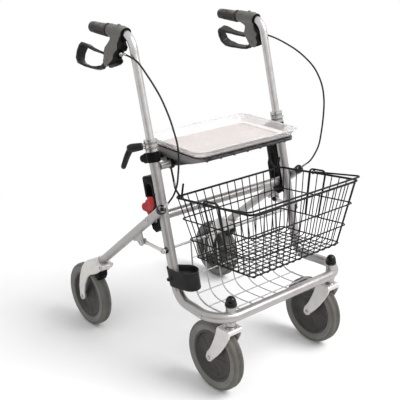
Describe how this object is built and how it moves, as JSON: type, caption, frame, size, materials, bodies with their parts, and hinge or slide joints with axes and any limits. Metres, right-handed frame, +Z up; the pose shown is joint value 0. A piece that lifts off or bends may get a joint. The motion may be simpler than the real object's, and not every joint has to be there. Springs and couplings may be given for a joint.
{
  "type": "folding rollator",
  "caption": "Folding walking frame on swivelling front wheels, with grips, cable brakes, a tip-up seat, a clear tray, a wire basket and a cane cup.",
  "frame": {"origin": "on the ground, under the middle of the footprint", "axes": "+Z up; -Y is the walker's front, where the swivelling wheels and the basket are; -X is its right side"},
  "size_m": [0.596, 0.7534, 0.9439],
  "materials": {
    "frame": "champagne silver lacquer",
    "satin_tube": "satin anodised",
    "fork": "light silver lacquer",
    "bright_steel": "plated",
    "plated_wire": "plated wire",
    "black_plastic": "fine grain",
    "red_plastic": "gloss",
    "grip_rubber": "matte",
    "cable": "smooth jacket",
    "coated_wire": "black powder coat",
    "clear_tray": "clear",
    "tyre": "matte grey",
    "hub": "dark grey"
  },
  "bodies": {
    "frame": {"front_leg_right": "frame", "front_leg_left": "frame", "base_bar": "frame", "seat_cross_tube": "frame", "shelf_back": "plated_wire", "shelf_floor": "plated_wire", "clamp_collar_right": "bright_steel", "clamp_collar_left": "bright_steel", "seat_bracket_right": "black_plastic", "seat_bracket_left": "black_plastic", "guide_right": "black_plastic", "guide_left": "black_plastic", "dome_cap_right": "black_plastic", "dome_cap_left": "black_plastic", "cane_holder": "black_plastic", "basket_hanger_right": "coated_wire", "basket_hanger_left": "coated_wire", "brake_cable_right": "cable", "brake_cable_left": "cable"},
    "latch": {"red_latch": "red_plastic"},
    "carriage": {"crossbar": "frame"},
    "rear_frame": {"rear_leg_right": "frame", "rear_leg_left": "frame", "end_plug_right": "black_plastic", "end_plug_left": "black_plastic", "rear_fork_right": "fork", "rear_fork_left": "fork"},
    "shoe_right": {"brake_shoe_right": "black_plastic"},
    "shoe_left": {"brake_shoe_left": "black_plastic"},
    "rear_wheel_right": {"rear_tyre_right": "tyre", "rear_hub_right": "hub"},
    "rear_wheel_left": {"rear_tyre_left": "tyre", "rear_hub_left": "hub"},
    "link_right": {"link_right": "fork"},
    "link_left": {"link_left": "fork"},
    "caster_right": {"caster_fork_right": "fork"},
    "caster_left": {"caster_fork_left": "fork"},
    "front_wheel_right": {"front_tyre_right": "tyre", "front_hub_right": "hub"},
    "front_wheel_left": {"front_tyre_left": "tyre", "front_hub_left": "hub"},
    "handle_right": {"handle_tube_right": "satin_tube", "grip_right": "grip_rubber", "brake_housing_right": "black_plastic"},
    "handle_left": {"handle_tube_left": "satin_tube", "grip_left": "grip_rubber", "brake_housing_left": "black_plastic"},
    "lever_right": {"brake_lever_right": "black_plastic"},
    "lever_left": {"brake_lever_left": "black_plastic"},
    "clamp_right": {"clamp_lever_right": "black_plastic"},
    "clamp_left": {"clamp_lever_left": "black_plastic"},
    "seat": {"seat": "black_plastic"},
    "tray": {"tray": "clear_tray"},
    "basket": {"basket_front": "coated_wire", "basket_back": "coated_wire", "basket_right": "coated_wire", "basket_left": "coated_wire", "basket_floor": "coated_wire"},
    "bail": {"basket_bail": "coated_wire"}
  },
  "joints": [
    {"name": "fold_slide", "type": "slide", "parent": "frame", "child": "carriage", "axis": [0, 0.2595, 0.9657], "range_m": [0, 0.08]},
    {"name": "rear_fold", "type": "hinge", "parent": "carriage", "child": "rear_frame", "pos_m": [0, -0.0507, 0.451], "axis": [-1, 0, 0], "range_deg": [0, 35.7]},
    {"name": "link_fold_right", "type": "hinge", "parent": "frame", "child": "link_right", "pos_m": [-0.2556, -0.1007, 0.374], "axis": [1, 0, 0], "range_deg": [0, 50]},
    {"name": "link_fold_left", "type": "hinge", "parent": "frame", "child": "link_left", "pos_m": [0.2556, -0.1007, 0.374], "axis": [1, 0, 0], "range_deg": [0, 50]},
    {"name": "latch_release", "type": "hinge", "parent": "frame", "child": "latch", "pos_m": [-0.2335, -0.01832, 0.49184], "axis": [1, 0, 0], "range_deg": [0, 25], "stiffness_Nm_per_rad": 0.05},
    {"name": "caster_swivel_right", "type": "hinge", "parent": "frame", "child": "caster_right", "pos_m": [-0.194, -0.3007, 0.2105], "axis": [0, 0, 1], "continuous": true},
    {"name": "caster_swivel_left", "type": "hinge", "parent": "frame", "child": "caster_left", "pos_m": [0.194, -0.3007, 0.2105], "axis": [0, 0, 1], "continuous": true},
    {"name": "front_wheel_spin_right", "type": "hinge", "parent": "caster_right", "child": "front_wheel_right", "pos_m": [-0.1931, -0.2424, 0.1], "axis": [1, 0, 0], "continuous": true},
    {"name": "front_wheel_spin_left", "type": "hinge", "parent": "caster_left", "child": "front_wheel_left", "pos_m": [0.1931, -0.2424, 0.1], "axis": [1, 0, 0], "continuous": true},
    {"name": "rear_wheel_spin_right", "type": "hinge", "parent": "rear_frame", "child": "rear_wheel_right", "pos_m": [-0.2634, 0.2767, 0.1], "axis": [1, 0, 0], "continuous": true},
    {"name": "rear_wheel_spin_left", "type": "hinge", "parent": "rear_frame", "child": "rear_wheel_left", "pos_m": [0.2634, 0.2767, 0.1], "axis": [1, 0, 0], "continuous": true},
    {"name": "brake_shoe_turn_right", "type": "hinge", "parent": "rear_frame", "child": "shoe_right", "pos_m": [-0.2634, 0.2013, 0.206], "axis": [-1, 0, 0], "range_deg": [0, 5.6]},
    {"name": "brake_shoe_turn_left", "type": "hinge", "parent": "rear_frame", "child": "shoe_left", "pos_m": [0.2634, 0.2013, 0.206], "axis": [-1, 0, 0], "range_deg": [0, 5.6]},
    {"name": "handle_height_right", "type": "slide", "parent": "frame", "child": "handle_right", "axis": [0, 0.2595, 0.9657], "range_m": [-0.14, 0.02], "deforming": ["brake_cable_right"]},
    {"name": "handle_height_left", "type": "slide", "parent": "frame", "child": "handle_left", "axis": [0, 0.2595, 0.9657], "range_m": [-0.14, 0.02], "deforming": ["brake_cable_left"]},
    {"name": "brake_pull_right", "type": "hinge", "parent": "handle_right", "child": "lever_right", "pos_m": [-0.26209, 0.1113, 0.85313], "axis": [0.9304, 0, -0.3665], "range_deg": [0, 14], "stiffness_Nm_per_rad": 0.6},
    {"name": "brake_pull_left", "type": "hinge", "parent": "handle_left", "child": "lever_left", "pos_m": [0.26209, 0.1113, 0.85313], "axis": [0.9304, 0, 0.3665], "range_deg": [0, 14], "stiffness_Nm_per_rad": 0.6},
    {"name": "clamp_turn_right", "type": "hinge", "parent": "frame", "child": "clamp_right", "pos_m": [-0.2335, -0.02627, 0.64723], "axis": [0.766, -0.6208, 0.1668], "range_deg": [0, 120]},
    {"name": "clamp_turn_left", "type": "hinge", "parent": "frame", "child": "clamp_left", "pos_m": [0.2335, -0.02627, 0.64723], "axis": [0.766, 0.6208, -0.1668], "range_deg": [0, 120]},
    {"name": "seat_tip_up", "type": "hinge", "parent": "frame", "child": "seat", "pos_m": [0, 0.0013, 0.604], "axis": [-1, 0, 0], "range_deg": [0, 80]},
    {"name": "tray_lift", "type": "slide", "parent": "seat", "child": "tray", "axis": [0, 0, 1], "range_m": [0, 0.06]},
    {"name": "basket_lift", "type": "slide", "parent": "frame", "child": "basket", "axis": [0, 0, 1], "range_m": [0, 0.04]},
    {"name": "bail_swing", "type": "hinge", "parent": "basket", "child": "bail", "pos_m": [0, -0.2087, 0.5237], "axis": [-1, 0, 0], "range_deg": [0, 85]}
  ],
  "couplings": [
    {"joint": "rear_fold", "follows": "fold_slide", "rad_per_m": 7.771},
    {"joint": "link_fold_right", "follows": "fold_slide", "rad_per_m": 10.893},
    {"joint": "link_fold_left", "follows": "fold_slide", "rad_per_m": 10.893},
    {"joint": "brake_shoe_turn_right", "follows": "brake_pull_right", "ratio": 0.4},
    {"joint": "brake_shoe_turn_left", "follows": "brake_pull_left", "ratio": 0.4}
  ]
}
